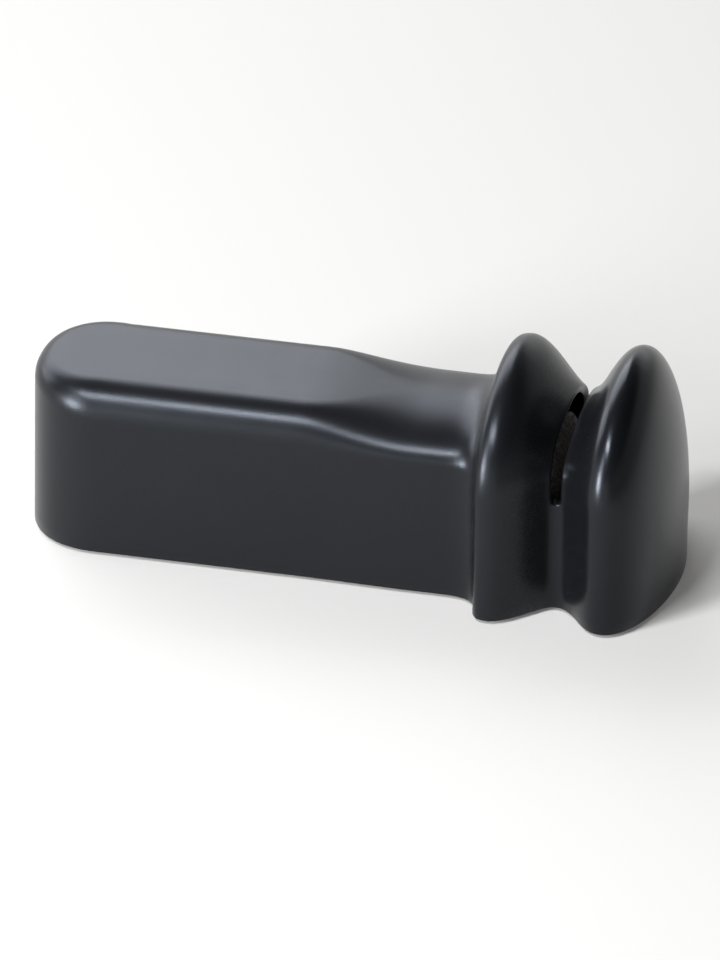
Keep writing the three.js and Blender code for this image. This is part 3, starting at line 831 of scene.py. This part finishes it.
    def skin(self, inset, lip=False):
        """All points of the surface moved in by inset for each column, with the slit's lip rolled in."""
        inset = np.broadcast_to(inset, self.stations.shape)
        if lip:
            inset = inset + self.lip_sink()
        half, rise = self.section(self.stations, inset)
        x = self.x(self.stations + self.shift)
        body = np.stack([x, self.side_sign() * half, rise + self.rim], axis=-1)
        foot = inset[0]
        return np.concatenate([self.tail(foot), body, self.nose(body[-1], foot)])

    def lip_sink(self):
        """How far each point sinks so that the slit's edge is rounded."""
        radius = self.size.slit_lip
        half, level = self.section(self.stations, 0)
        across = np.abs(self.stations - self.groove_at)
        beside = across - self.slit_half(level)
        beyond = np.hypot(across, level - self.slit_centre) - self.slit_round
        gap = np.clip(np.where(level < self.slit_centre, beyond, beside), 0, radius)
        return radius - np.sqrt(radius ** 2 - (radius - gap) ** 2)

    def outer(self):
        inset = np.zeros(self.columns)
        for column, share in ((0, 1), (1, self.RIM_SHARE)):
            inset[[column, -1 - column]] = share * self.size.rim_round
        return self.skin(inset, lip=True)

    def inner(self):
        """Inner surface, with a ledge above the thinner rim."""
        outer_levels = self.levels
        self.levels = outer_levels.copy()
        self.levels[1:3] = self.size.rim_tall
        inset = np.full(self.columns, self.size.wall)
        for column in (0, 1):
            inset[[column, -1 - column]] = self.size.rim_wall
        points = self.skin(inset)
        self.levels = outer_levels
        return points


# Operators

class SHARPENER_OT_housing(bpy.types.Operator):
    """Moulded housing: handle, neck, humps, groove with the knife slit, and front face"""

    bl_idname = "sharpener.housing"
    bl_label = "Housing"
    BLOCK_CUTS = 11

    def skin(self, name, points, form):
        rows, columns = points.shape[:2]
        deselect()
        bpy.ops.mesh.primitive_grid_add(x_subdivisions=rows - 1, y_subdivisions=columns - 1, size=form.length)
        skin = started(name)
        place_points(skin, points.transpose(1, 0, 2))
        faces = np.zeros((columns - 1, rows - 1), bool)
        faces[form.tip_column:columns - 1 - form.tip_column, form.slit_row] = True
        select_faces(skin, faces.ravel())
        edit(skin)
        bpy.ops.mesh.delete(type="FACE")
        leave()
        merge(skin)
        return skin

    def bridge(self, housing, chosen):
        select_edges(housing, chosen)
        edit(housing)
        bpy.ops.mesh.bridge_edge_loops()
        leave()

    def raise_to_ceiling(self, bar, form):
        """Lifts the top of a post or block into the wall above it."""
        points = points_of(bar)
        top = points[:, 2] > points[:, 2].max() - MM
        points[top, 2] = form.ceiling(points[top, 0], points[top, 1])
        place_points(bar, points)
        return bar

    def fittings(self, form):
        """Drilled screw posts and the upper halves of the bearing blocks."""
        sizes = settings().base
        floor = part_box("base_cover")[0].z + sizes.cover_thick + sizes.seat_gap
        top = form.rim + form.size.handle_height - form.size.wall
        posts, holes = [], []
        for place in SCREWS:
            middle, half = span(f"cover_screw_{place}")
            boss = post(place, sizes.boss_radius, floor, top, *middle.xy)
            posts.append(self.raise_to_ceiling(boss, form))
            bore, tip = sizes.screw_radius + sizes.hole_gap, middle.z + half.z + MM
            holes.append(post(f"{place}_hole", bore, form.rim, tip, *middle.xy))
        for block, channel in bearing_blocks(WHEEL_CENTRE.z + sizes.split_gap / 2, top):
            edit_all(block)
            bpy.ops.mesh.subdivide(number_cuts=self.BLOCK_CUTS)
            leave()
            posts.append(self.raise_to_ceiling(block, form))
            holes.append(channel)
        fittings = joined(posts)
        carve(fittings, joined(holes))
        return fittings

    def execute(self, context):
        form = HousingForm()
        housing = self.skin("housing", form.outer(), form)
        lining = self.skin("lining", form.inner(), form)
        edit_all(lining)
        bpy.ops.mesh.flip_normals()
        leave()
        joined([housing, lining])
        middle = form.rim + form.size.handle_height / 2
        for above in (True, False):
            loose, middles = open_edges(housing)
            self.bridge(housing, loose & ((middles[:, 2] > middle) == above))
        merge(housing)
        face_outward(housing)
        carve(housing, self.fittings(form), "UNION", "MANIFOLD")
        merge(housing)
        smooth(housing)
        finish_piece(housing, moulded_plastic(), "housing", "housing", "body_shell")
        return {"FINISHED"}


def bearing_blocks(low, high):
    """Block that holds each bush, between two heights, and the round channel through it."""
    sizes, wheels = settings().base, settings().wheels
    made = []
    for end, side in ENDS:
        middle, half = span(f"{end}_bush")
        face = middle.x - side * half.x + side * (wheels.bush_flange + sizes.hole_gap)
        back = middle.x + side * (half.x - sizes.split_gap)
        wide = sizes.bearing_width / 2
        x0, x1 = min(face, back), max(face, back)
        block = cuboid(f"{end}_block", (x0, -wide, low), (x1, wide, high))
        radius = wheels.bush_radius + sizes.hole_gap
        over = x1 - x0
        bar = [(0, -over), (radius, -over), (radius, over), (0, over)]
        centre = Vector(((x0 + x1) / 2, 0, WHEEL_CENTRE.z))
        made.append((block, spun(f"{end}_channel", bar, centre, steps=64)))
    return made


class SHARPENER_OT_base_cover(bpy.types.Operator):
    """Cover plate with foot sockets, screw holes and the lower bearing blocks"""

    bl_idname = "sharpener.base_cover"
    bl_label = "Base cover"
    FLAT_GAP = 0.01 * MM

    def hole(self, radius, top, x, y, bottom, shank=()):
        """Tool for a round hole with a chamfered mouth, and with a narrower shank above it."""
        mouth = settings().base.hole_chamfer
        profile = [(0, bottom - mouth), (radius + 2 * mouth, bottom - mouth), (radius, bottom + mouth)]
        profile += [(radius, top), *shank, (0, shank[-1][1] if shank else top)]
        return spun("hole", profile, Vector((x, y, 0)), "Z", 0, 64)

    def underside(self, cover, bottom):
        """Mask of the faces and edges that lie in the plate's lower face."""
        flat = np.abs(points_of(cover)[:, 2] - bottom) < self.FLAT_GAP
        faces = [all(flat[k] for k in face.vertices) for face in cover.data.polygons]
        edges = [flat[edge.vertices[0]] and flat[edge.vertices[1]] for edge in cover.data.edges]
        return np.array(faces), np.array(edges)

    def plate(self, form, bottom):
        """Plate with a rounded lower edge and a fine line round its underside."""
        sizes = settings().base
        outline = form.outline(sizes.cover_inset)
        deselect()
        bpy.ops.mesh.primitive_circle_add(vertices=len(outline), fill_type="NGON")
        cover = started("cover_plate")
        place_points(cover, np.column_stack([outline, np.full(len(outline), bottom)]))
        merge(cover)
        edit_all(cover)
        bpy.ops.mesh.extrude_region_move(TRANSFORM_OT_translate={"value": (0, 0, sizes.cover_thick)})
        leave()
        face_outward(cover)
        select_edges(cover, self.underside(cover, bottom)[1])
        edit(cover)
        bpy.ops.mesh.bevel(offset=sizes.cover_edge, segments=3, affect="EDGES")
        leave()
        select_faces(cover, self.underside(cover, bottom)[0])
        edit(cover)
        bpy.ops.mesh.inset(thickness=sizes.line_inset)
        for depth in (-sizes.line_depth, 0, sizes.line_depth):
            bpy.ops.mesh.inset(thickness=sizes.line_width / 3, depth=depth)
        leave()
        return cover

    def execute(self, context):
        sizes = settings().base
        form = HousingForm()
        low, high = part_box("base_cover")
        cover = self.plate(form, low.z)
        blocks, channels = zip(*bearing_blocks(low.z + sizes.cover_thick / 2, high.z))
        carve(cover, joined(blocks), "UNION")
        holes = list(channels)
        for place in SCREWS:
            middle, half = span(f"cover_screw_{place}")
            seat = low.z + sizes.screw_head_tall + sizes.seat_gap
            slim = sizes.screw_radius + sizes.hole_gap
            shank = ((slim, seat), (slim, low.z + 2 * sizes.cover_thick))
            holes.append(self.hole(half.x + sizes.hole_gap, seat, *middle.xy, low.z, shank))
        for place in FEET:
            middle, half = span(f"foot_{place}")
            holes.append(self.hole(half.x + sizes.hole_gap, 2 * half.z + sizes.seat_gap, *middle.xy, low.z))
        carve(cover, joined(holes))
        smooth(cover)
        finish_piece(cover, matt_plastic("cover_plastic", settings().finishes.cover, 0.5),
                     "housing", "cover", "base_cover")
        return {"FINISHED"}


class SHARPENER_OT_grinding_rings(bpy.types.Operator):
    """Pair of bevelled abrasive rings that face each other across the groove"""

    bl_idname = "sharpener.grinding_rings"
    bl_label = "Grinding rings"
    EDGE_ROUND = 0.12 * MM
    TURN_STEPS = 144

    def execute(self, context):
        sizes = settings().wheels
        grit = abrasive_grit()
        for end, side in ENDS:
            lead, back, outer = wheel_span(f"{end}_grinding_ring")
            inner = sizes.ring_inner
            rise = lead + (outer - inner) * math.tan(sizes.ring_bevel)
            outline = [(inner, lead), (outer - sizes.ring_chamfer, rise), (outer, rise + sizes.ring_chamfer),
                       (outer, back), (inner, back)]
            ring = spun(f"{end}_ring", mirrored(outline, side), WHEEL_CENTRE,
                        bevel=self.EDGE_ROUND, steps=self.TURN_STEPS)
            finish_piece(ring, grit, "wheel_set", "abrasive", f"{end}_grinding_ring")
        return {"FINISHED"}


class SHARPENER_OT_wheel_hubs(bpy.types.Operator):
    """Moulded hubs that carry the rings"""

    bl_idname = "sharpener.wheel_hubs"
    bl_label = "Wheel hubs"
    EDGE_ROUND = 0.18 * MM

    def execute(self, context):
        sizes = settings().wheels
        plastic = matt_plastic("hub_plastic", settings().finishes.hub, 0.45)
        bore = AXLE_RADIUS + sizes.press_gap
        for end, side in ENDS:
            face, back, outer = wheel_span(f"{end}_wheel_hub")
            step, hollow = back - sizes.hub_flange, back - sizes.hub_hollow
            rim, core = outer - sizes.hub_flange, bore + 2 * sizes.hub_flange
            outline = [(bore, face), (sizes.hub_radius, face), (sizes.hub_radius, step), (outer, step),
                       (outer, back), (rim, back), (rim, hollow), (core, hollow), (core, back), (bore, back)]
            hub = spun(f"{end}_hub", mirrored(outline, side), WHEEL_CENTRE, bevel=self.EDGE_ROUND)
            finish_piece(hub, plastic, "wheel_set", "hub", f"{end}_wheel_hub")
        return {"FINISHED"}


class SHARPENER_OT_axle(bpy.types.Operator):
    """Steel axle with its spacer and open clips"""

    bl_idname = "sharpener.axle"
    bl_label = "Axle"
    PIN_ROUND = 0.06 * MM
    SPACER_ROUND = 0.1 * MM
    CLIP_ROUND = 0.08 * MM
    CLIP_STEPS = 72

    def execute(self, context):
        sizes, gap = settings().wheels, settings().base.seat_gap
        steel = bright_steel()
        radius, reach = AXLE_RADIUS, (AXLE_HIGH.x - AXLE_LOW.x) / 2
        neck = radius - sizes.clip_depth
        clip, clip_half = span("front_axle_clip")
        near, far = (clip.x - WHEEL_CENTRE.x + sign * (clip_half.x + gap) for sign in (-1, 1))
        front = [(radius, near), (neck, near), (neck, far), (radius, far),
                 (radius, reach - sizes.clip_depth), (neck, reach)]
        rear = mirrored(reversed(front), -1)
        outline = [(0, -reach), *rear, *front, (0, reach)]
        axle = spun("axle_pin", outline, WHEEL_CENTRE, bevel=self.PIN_ROUND)
        finish_piece(axle, steel, "wheel_set", "steel", "axle")
        _, half = span("hub_spacer")
        bore = radius + sizes.press_gap
        outline = [(bore, -half.x), (half.z, -half.x), (half.z, half.x), (bore, half.x)]
        spacer = spun("spacer", outline, WHEEL_CENTRE, bevel=self.SPACER_ROUND)
        finish_piece(spacer, steel, "wheel_set", "steel", "hub_spacer")
        for end, side in ENDS:
            inner, outer = neck + gap, clip_half.y
            low, high = near + gap, far - gap
            outline = mirrored([(inner, low), (outer, low), (outer, high), (inner, high)], side)
            start = math.pi + sizes.clip_mouth / 2
            turn = 2 * math.pi - sizes.clip_mouth
            ring = spun(f"{end}_clip", outline, WHEEL_CENTRE, "X", self.CLIP_ROUND, self.CLIP_STEPS,
                        start, turn)
            finish_piece(ring, steel, "wheel_set", "steel", f"{end}_axle_clip")
        return {"FINISHED"}


class SHARPENER_OT_bearings(bpy.types.Operator):
    """Flanged bushes and thrust washers"""

    bl_idname = "sharpener.bearings"
    bl_label = "Bearings"
    EDGE_ROUND = 0.12 * MM

    def execute(self, context):
        sizes = settings().wheels
        plastic = matt_plastic("bearing_plastic", settings().finishes.bearing, 0.38)
        bore = AXLE_RADIUS + sizes.run_gap
        for end, side in ENDS:
            for node, slim in ((f"{end}_bush", True), (f"{end}_thrust_washer", False)):
                face, back, outer = wheel_span(node)
                outline = [(bore, face), (outer, face)]
                if slim:
                    step = face + sizes.bush_flange
                    outline += [(outer, step), (sizes.bush_radius, step), (sizes.bush_radius, back)]
                else:
                    outline.append((outer, back))
                outline = mirrored([*outline, (bore, back)], side)
                piece = spun(f"{node}_ring", outline, WHEEL_CENTRE, bevel=self.EDGE_ROUND)
                finish_piece(piece, plastic, "housing", "bearing", node)
        return {"FINISHED"}


class SHARPENER_OT_screws(bpy.types.Operator):
    """Cover screws with a domed head, a cross recess and a coarse thread"""

    bl_idname = "sharpener.screws"
    bl_label = "Screws"
    DOME_TALL = 0.55 * MM
    DOME_POINTS = 9
    RELIEF = 0.2 * MM
    POINT_TALL = 1.2 * MM
    POINT_SHARE = 0.3
    PITCH_ROWS = 10
    RUN_OUT = 0.5 * MM
    RIDGE_SHARE = 0.3
    TURN_STEPS = 48

    def thread(self, screw, middle, low, high):
        """Turns the plain shank into a coarse thread."""
        sizes = settings().base
        points = points_of(screw)
        x, y, z = (points - np.array(middle)).T
        z = points[:, 2]
        shank = (z > low) & (z < high)
        phase = np.mod((z - low) / sizes.screw_pitch - np.arctan2(y, x) / (2 * math.pi), 1)
        ridge = np.clip(1 - np.abs(phase - 0.5) / self.RIDGE_SHARE, 0, 1)
        radius = mix(sizes.screw_core, sizes.screw_radius, ridge)
        scale = np.where(shank, radius / np.maximum(np.hypot(x, y), 1e-6), 1)
        points[:, 0] = middle.x + x * scale
        points[:, 1] = middle.y + y * scale
        place_points(screw, points)

    def execute(self, context):
        sizes = settings().base
        steel = bright_steel()
        for place in SCREWS:
            node = f"cover_screw_{place}"
            middle, half = span(node)
            bottom, top = middle.z - half.z, middle.z + half.z
            seat = bottom + sizes.screw_head_tall
            wide = half.x
            dome = [(wide * math.sin(a), bottom + self.DOME_TALL * (1 - math.cos(a)))
                    for a in np.linspace(0, math.pi / 2, self.DOME_POINTS)]
            rows = np.arange(seat + self.RELIEF, top - self.POINT_TALL, sizes.screw_pitch / self.PITCH_ROWS)
            shank = [(sizes.screw_core, z) for z in rows]
            point = [(self.POINT_SHARE * sizes.screw_core, top), (0, top)]
            outline = [*dome, (wide, seat), *shank, *point]
            centre = Vector((middle.x, middle.y, 0))
            screw = spun(f"screw_{place}", outline, centre, "Z", 0, self.TURN_STEPS)
            self.thread(screw, middle, rows[0] + self.RUN_OUT, rows[-1] - self.RUN_OUT)
            arm, slim, deep = sizes.cross_arm, sizes.cross_half, bottom + sizes.cross_depth
            for wide_x, wide_y in ((arm, slim), (slim, arm)):
                low = (middle.x - wide_x, middle.y - wide_y, bottom - MM)
                high = (middle.x + wide_x, middle.y + wide_y, deep)
                carve(screw, cuboid("cross", low, high))
            smooth(screw)
            finish_piece(screw, steel, "housing", "steel", node)
        return {"FINISHED"}


class SHARPENER_OT_feet(bpy.types.Operator):
    """Round rubber feet with a shallow dish"""

    bl_idname = "sharpener.feet"
    bl_label = "Feet"

    def execute(self, context):
        sizes = settings().base
        rubber = foot_rubber()
        for place in FEET:
            middle, half = span(f"foot_{place}")
            radius, top = half.x, 2 * half.z
            dish, deep = radius - 4 * sizes.foot_round, sizes.foot_dish
            outline = [(0, deep), (dish, deep), (dish + deep, 0), (radius, 0), (radius, top), (0, top)]
            centre = Vector((middle.x, middle.y, 0))
            foot = spun(f"rubber_{place}", outline, centre, "Z", sizes.foot_round / 2)
            finish_piece(foot, rubber, "housing", "rubber", f"foot_{place}")
        return {"FINISHED"}


class SHARPENER_OT_stage(bpy.types.Operator):
    """Pale floor, studio sweep, soft lamps and the camera"""

    bl_idname = "sharpener.stage"
    bl_label = "Stage"
    FLOOR_SIZE = 12
    FLOOR_GLOW = 0.1
    SEEN_RAYS = ("Is Camera Ray", "Is Glossy Ray", "Is Transmission Ray")
    SWEEP_TOP = (0.28, 0.44)
    SWEEP_SIDE = (0.15, 0.55)
    SIDE_LEVELS = (1.0, 0.3)
    DAYLIGHT = (0.955, 0.985, 1.07)
    SENSOR_WIDTH = 36
    CLIP_END = 50
    # Name, place, aim point, width, height and radiance of each lamp
    LAMPS = (
        ("key_box", (-0.64, -0.78, 0.28), (0.04, 0, 0.035), 0.26, 0.34, 44.0),
        ("middle_box", (-0.52, -0.66, 0.57), (0.03, 0, 0.035), 0.26, 0.34, 9.0),
        ("edge_box", (-0.24, -0.48, 0.88), (-0.03, 0, 0.04), 0.32, 0.12, 62.0),
        ("left_panel", (-0.86, 0.32, 0.48), (0.03, 0, 0.04), 0.5, 0.45, 4.0),
        ("back_panel", (-0.48, 0.76, 0.70), (-0.03, 0, 0.04), 0.78, 0.66, 4.3),
    )

    def floor(self, sizes):
        """Pale sheet that shows its own colour to the camera and in reflections, and is clear from below."""
        deselect()
        bpy.ops.mesh.primitive_plane_add(size=self.FLOOR_SIZE)
        floor = started("floor")
        finish = new_finish("pale_floor")
        camera, *others = (finish.node("ShaderNodeLightPath", output=ray) for ray in self.SEEN_RAYS)
        seen = sum(others, camera)
        back = finish.node("ShaderNodeNewGeometry", output="Backfacing")
        matt = finish.node("ShaderNodeBsdfDiffuse", {}, {"Color": sizes.floor})
        glow = finish.node("ShaderNodeEmission", {}, {"Color": (1, 1, 1), "Strength": seen * self.FLOOR_GLOW})
        both = finish.node("ShaderNodeAddShader", {}, {0: matt, 1: glow})
        clear = finish.node("ShaderNodeBsdfTransparent")
        sheet = finish.node("ShaderNodeMixShader", {}, {0: back, 1: both, 2: clear})
        finish.node_output("ShaderNodeOutputMaterial", sheet)
        floor.data.materials.append(finish.owner)

    def world(self, sizes):
        """Pale studio sweep, dimmer toward the right, with a dim ceiling above it."""
        world = bpy.data.worlds.new("studio")
        bpy.context.scene.world = world
        finish = Finish(world)
        direction = finish.node("ShaderNodeTexCoord", output="Generated")
        height = finish.node("ShaderNodeSeparateXYZ", {}, {0: direction}, "Z")
        across = finish.node("ShaderNodeSeparateXYZ", {}, {0: direction}, "X")
        side = finish.fade(across, *self.SWEEP_SIDE, *self.SIDE_LEVELS)
        strength = finish.fade(height, *self.SWEEP_TOP, sizes.sweep, sizes.ceiling) * side
        shader = finish.node("ShaderNodeBackground", {}, {"Color": (1, 1, 1), "Strength": strength})
        finish.node_output("ShaderNodeOutputWorld", shader)

    def lamp(self, name, place, aim, wide, tall, radiance):
        """Flat lamp whose brightness is given as the radiance of its face."""
        deselect()
        bpy.ops.object.light_add(type="AREA", location=place)
        lamp = bpy.context.object
        lamp.name = name
        lamp.data.shape = "RECTANGLE"
        lamp.data.size = wide
        lamp.data.size_y = tall
        lamp.data.energy = radiance * math.pi * wide * tall
        lamp.data.color = self.DAYLIGHT
        lamp.rotation_euler = (Vector(aim) - Vector(place)).to_track_quat("-Z", "Y").to_euler()
        lamp.visible_camera = False

    def camera(self, sizes):
        turn, rise = sizes.azimuth, sizes.elevation
        back = Vector((math.sin(turn) * math.cos(rise), -math.cos(turn) * math.cos(rise), math.sin(rise)))
        right = Vector((math.cos(turn), math.sin(turn), 0))
        up = back.cross(right)
        aim = Vector((0, 0, sizes.aim_height)) + right * sizes.aim_right + up * sizes.aim_up
        bpy.ops.object.camera_add(location=aim + back * sizes.distance)
        camera = bpy.context.object
        camera.rotation_euler = (-back).to_track_quat("-Z", "Y").to_euler()
        camera.data.lens = sizes.focal
        camera.data.sensor_width = self.SENSOR_WIDTH
        camera.data.clip_end = self.CLIP_END
        bpy.context.scene.camera = camera

    def execute(self, context):
        sizes = settings().stage
        context.scene.view_settings.view_transform = "Standard"
        self.floor(sizes)
        self.world(sizes)
        for lamp in self.LAMPS:
            self.lamp(*lamp)
        self.camera(sizes)
        return {"FINISHED"}


class SHARPENER_PT_panel(bpy.types.Panel):
    """Lists the pieces and the stage"""

    bl_label = "Sharpener"
    bl_idname = "SHARPENER_PT_panel"
    bl_space_type = "VIEW_3D"
    bl_region_type = "UI"
    bl_category = "Sharpener"

    def draw(self, context):
        for operator in STEPS:
            self.layout.operator(operator.bl_idname)


STEPS = (
    SHARPENER_OT_stage,
    SHARPENER_OT_housing,
    SHARPENER_OT_base_cover,
    SHARPENER_OT_grinding_rings,
    SHARPENER_OT_wheel_hubs,
    SHARPENER_OT_axle,
    SHARPENER_OT_bearings,
    SHARPENER_OT_screws,
    SHARPENER_OT_feet,
)
GROUPS = (
    SharpenerHousingSizes,
    SharpenerBaseSizes,
    SharpenerWheelSizes,
    SharpenerFinishes,
    SharpenerStageSizes,
    SharpenerSettings,
)


def register():
    for kind in (*GROUPS, *STEPS, SHARPENER_PT_panel):
        bpy.utils.register_class(kind)
    bpy.types.Scene.sharpener = PointerProperty(type=SharpenerSettings)


def unregister():
    del bpy.types.Scene.sharpener
    for kind in reversed((*GROUPS, *STEPS, SHARPENER_PT_panel)):
        bpy.utils.unregister_class(kind)


def main():
    register()
    for step in STEPS:
        group, name = step.bl_idname.split(".")
        getattr(getattr(bpy.ops, group), name)()


if __name__ == "__main__":
    main()
